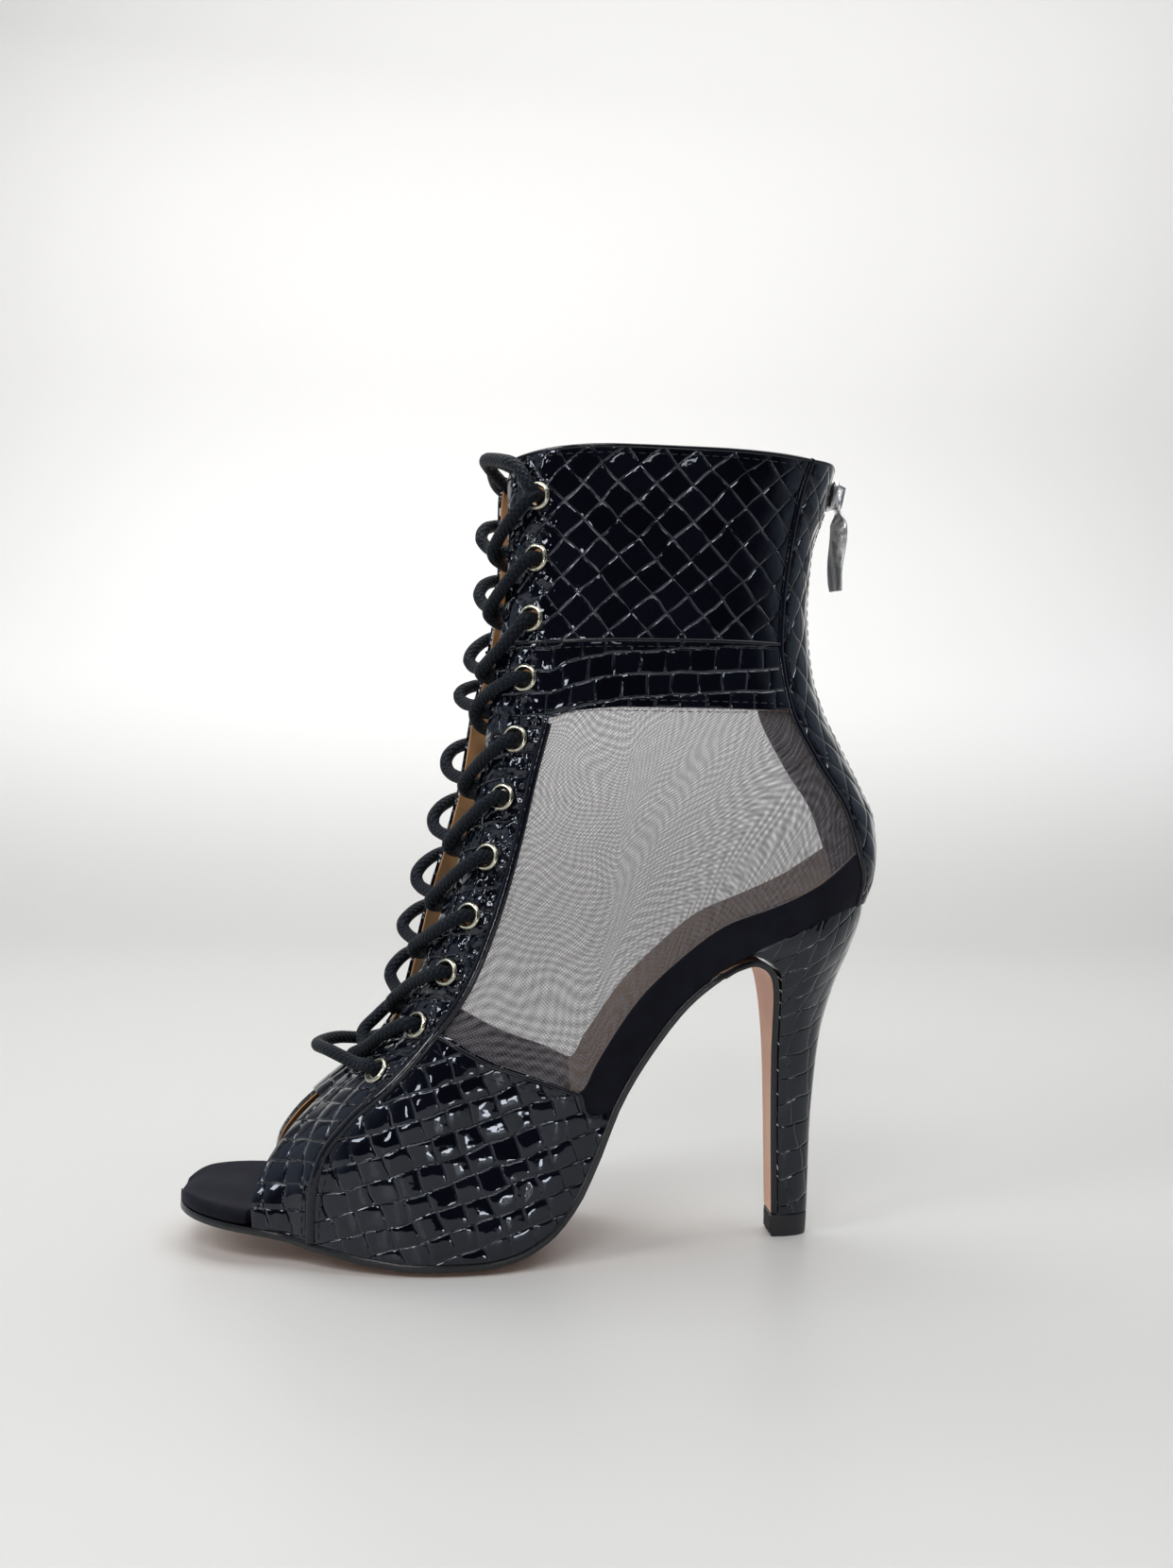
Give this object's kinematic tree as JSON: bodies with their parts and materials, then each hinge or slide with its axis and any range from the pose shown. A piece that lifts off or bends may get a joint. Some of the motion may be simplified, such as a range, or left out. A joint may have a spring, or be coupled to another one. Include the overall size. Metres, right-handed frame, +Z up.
{
  "type": "dance boot",
  "caption": "Open toed, laced ankle boot on a slim high heel, in black patent leather with see-through mesh quarters and a zip down the back.",
  "frame": {"origin": "centre of the bounding box at the floor", "axes": "+Z up, toe towards -X, heel towards +X, the outer side of the foot towards -Y"},
  "size_m": [0.2157, 0.0696, 0.2433],
  "materials": {
    "sole_leather": "smooth, salmon beige",
    "black_suede": "matt suede",
    "patent_leather": "patent, pressed in a woven grid",
    "heel_rubber": "matt",
    "old_brass": "antique silver, polished",
    "waxed_cord": "waxed braid",
    "zip_tape": "woven tape",
    "zip_steel": "plated"
  },
  "bodies": {
    "boot": {"outsole": "sole_leather", "insole": "black_suede", "upper": "patent_leather", "heel": "patent_leather", "top_piece": "heel_rubber", "eyelet_outer_01": "old_brass", "eyelet_outer_02": "old_brass", "eyelet_outer_03": "old_brass", "eyelet_outer_04": "old_brass", "eyelet_outer_05": "old_brass", "eyelet_outer_06": "old_brass", "eyelet_outer_07": "old_brass", "eyelet_outer_08": "old_brass", "eyelet_outer_09": "old_brass", "eyelet_outer_10": "old_brass", "eyelet_outer_11": "old_brass", "eyelet_inner_01": "old_brass", "eyelet_inner_02": "old_brass", "eyelet_inner_03": "old_brass", "eyelet_inner_04": "old_brass", "eyelet_inner_05": "old_brass", "eyelet_inner_06": "old_brass", "eyelet_inner_07": "old_brass", "eyelet_inner_08": "old_brass", "eyelet_inner_09": "old_brass", "eyelet_inner_10": "old_brass", "eyelet_inner_11": "old_brass", "lace_crossing_01": "waxed_cord", "lace_crossing_02": "waxed_cord", "lace_crossing_03": "waxed_cord", "lace_crossing_04": "waxed_cord", "lace_crossing_05": "waxed_cord", "lace_crossing_06": "waxed_cord", "lace_crossing_07": "waxed_cord", "lace_crossing_08": "waxed_cord", "lace_crossing_09": "waxed_cord", "lace_crossing_10": "waxed_cord", "lace_bar": "waxed_cord", "zip": "zip_tape", "zip_slider": "zip_steel"},
    "pull": {"zip_pull": "zip_steel"}
  },
  "joints": [
    {"name": "pull_hinge", "type": "hinge", "parent": "boot", "child": "pull", "pos_m": [0.09484, 0.0008, 0.23561], "axis": [0, 1, 0], "range_deg": [-150, 10]}
  ]
}
